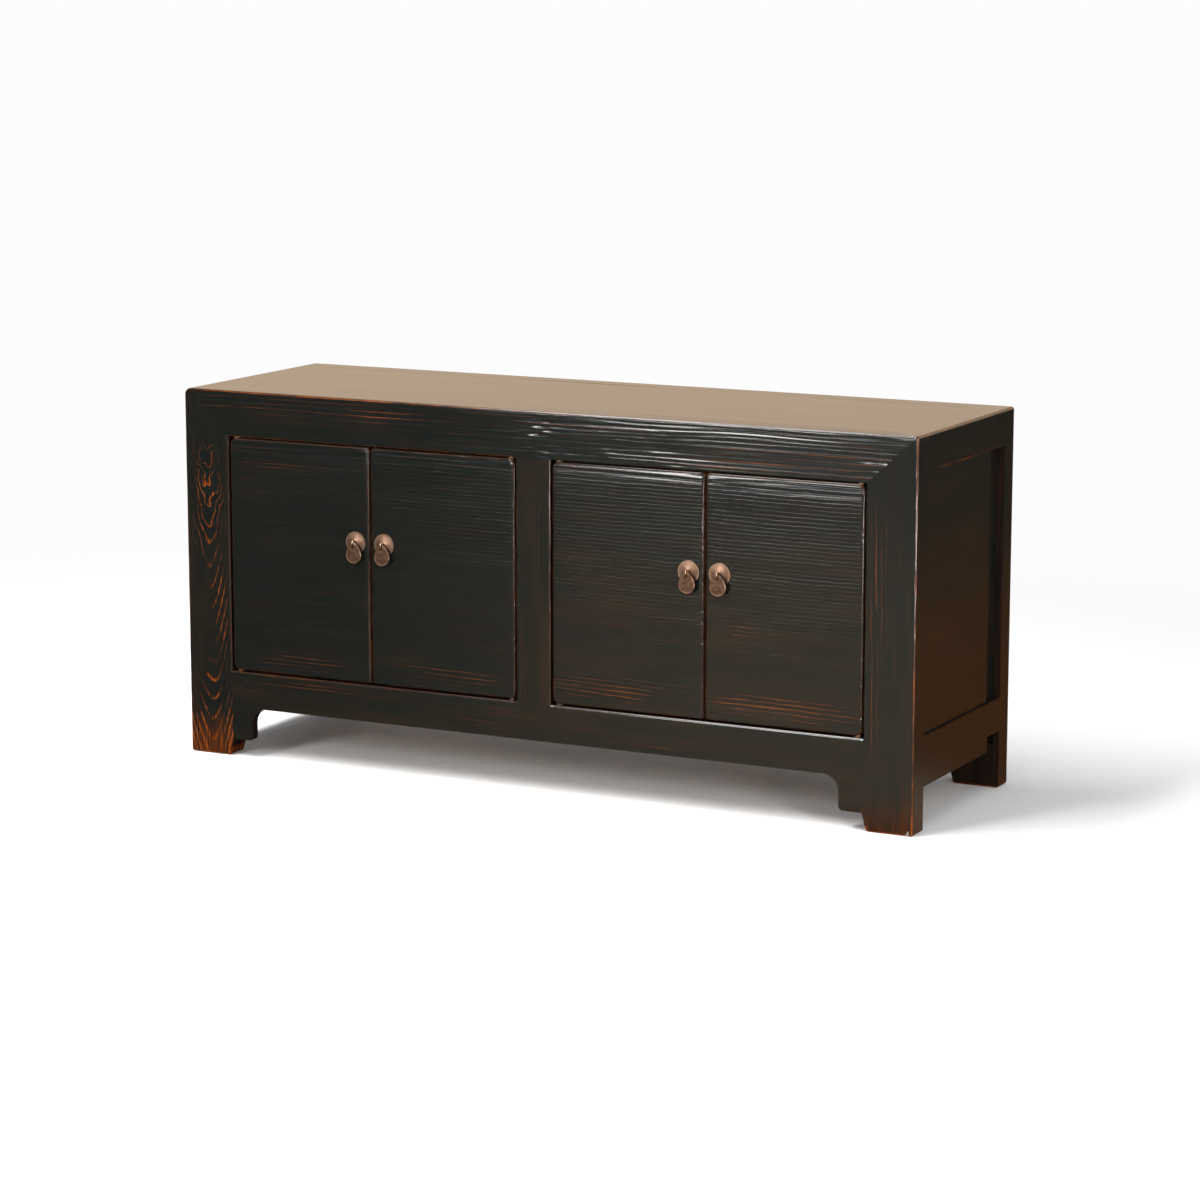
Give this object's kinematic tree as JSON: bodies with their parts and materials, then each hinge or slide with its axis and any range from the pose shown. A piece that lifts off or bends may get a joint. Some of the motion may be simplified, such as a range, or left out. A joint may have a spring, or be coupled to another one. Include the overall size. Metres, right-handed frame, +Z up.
{
  "type": "kang cabinet",
  "caption": "Low wide kang cabinet: flush frame with mitred corners, paired doors on wooden pivots, bracket aprons and hanging drop pulls.",
  "frame": {"origin": "middle of the footprint, pulls included, on the floor", "axes": "+X to the right along the front, +Y to the back, +Z up; the doors face -Y"},
  "size_m": [1.4, 0.4448, 0.658],
  "materials": {
    "lacquer": "near-black lacquer over softwood, rubbed through to orange-brown wood at the grain and edges, glossy",
    "bare_wood": "unlacquered softwood, planed, aged",
    "hardware": "aged copper-brown brass, satin"
  },
  "bodies": {
    "case": {"back_apron": "lacquer", "back_centre_stile": "lacquer", "back_left_post": "lacquer", "back_right_post": "lacquer", "back_top_rail": "lacquer", "floor_back_board": "bare_wood", "floor_bearer": "bare_wood", "floor_front_board": "bare_wood", "floor_middle_board": "bare_wood", "front_apron": "lacquer", "front_centre_stile": "lacquer", "front_left_post": "lacquer", "front_right_post": "lacquer", "front_top_rail": "lacquer", "left_back_panel": "bare_wood", "left_bottom_rail": "lacquer", "left_door_stop": "bare_wood", "left_floor_ledger": "bare_wood", "left_side_panel": "lacquer", "left_top_batten": "bare_wood", "left_top_rail": "lacquer", "right_back_panel": "bare_wood", "right_bottom_rail": "lacquer", "right_door_stop": "bare_wood", "right_floor_ledger": "bare_wood", "right_side_panel": "lacquer", "right_top_batten": "bare_wood", "right_top_rail": "lacquer", "top_back_board": "lacquer", "top_front_board": "lacquer", "top_middle_board": "lacquer"},
    "left_outer_door": {"left_outer_backplate": "hardware", "left_outer_door_battens": "bare_wood", "left_outer_door_board": "lacquer", "left_outer_pivot_pins": "bare_wood", "left_outer_staple": "hardware"},
    "left_outer_pull": {"left_outer_pull": "hardware"},
    "left_inner_door": {"left_inner_backplate": "hardware", "left_inner_door_battens": "bare_wood", "left_inner_door_board": "lacquer", "left_inner_pivot_pins": "bare_wood", "left_inner_staple": "hardware"},
    "left_inner_pull": {"left_inner_pull": "hardware"},
    "right_inner_door": {"right_inner_backplate": "hardware", "right_inner_door_battens": "bare_wood", "right_inner_door_board": "lacquer", "right_inner_pivot_pins": "bare_wood", "right_inner_staple": "hardware"},
    "right_inner_pull": {"right_inner_pull": "hardware"},
    "right_outer_door": {"right_outer_backplate": "hardware", "right_outer_door_battens": "bare_wood", "right_outer_door_board": "lacquer", "right_outer_pivot_pins": "bare_wood", "right_outer_staple": "hardware"},
    "right_outer_pull": {"right_outer_pull": "hardware"}
  },
  "joints": [
    {"name": "left_outer_door_pivot", "type": "hinge", "parent": "case", "child": "left_outer_door", "pos_m": [-0.597, -0.1981, 0.366], "axis": [0, 0, -1], "range_deg": [0, 100]},
    {"name": "left_outer_pull_swing", "type": "hinge", "parent": "left_outer_door", "child": "left_outer_pull", "pos_m": [-0.35, -0.2171, 0.4065], "axis": [-1, 0, 0], "range_deg": [-10, 80]},
    {"name": "left_inner_door_pivot", "type": "hinge", "parent": "case", "child": "left_inner_door", "pos_m": [-0.046, -0.1981, 0.366], "axis": [0, 0, 1], "range_deg": [0, 85]},
    {"name": "left_inner_pull_swing", "type": "hinge", "parent": "left_inner_door", "child": "left_inner_pull", "pos_m": [-0.293, -0.2171, 0.4065], "axis": [-1, 0, 0], "range_deg": [-10, 80]},
    {"name": "right_inner_door_pivot", "type": "hinge", "parent": "case", "child": "right_inner_door", "pos_m": [0.046, -0.1981, 0.366], "axis": [0, 0, -1], "range_deg": [0, 85]},
    {"name": "right_inner_pull_swing", "type": "hinge", "parent": "right_inner_door", "child": "right_inner_pull", "pos_m": [0.293, -0.2171, 0.4065], "axis": [-1, 0, 0], "range_deg": [-10, 80]},
    {"name": "right_outer_door_pivot", "type": "hinge", "parent": "case", "child": "right_outer_door", "pos_m": [0.597, -0.1981, 0.366], "axis": [0, 0, 1], "range_deg": [0, 100]},
    {"name": "right_outer_pull_swing", "type": "hinge", "parent": "right_outer_door", "child": "right_outer_pull", "pos_m": [0.35, -0.2171, 0.4065], "axis": [-1, 0, 0], "range_deg": [-10, 80]}
  ]
}
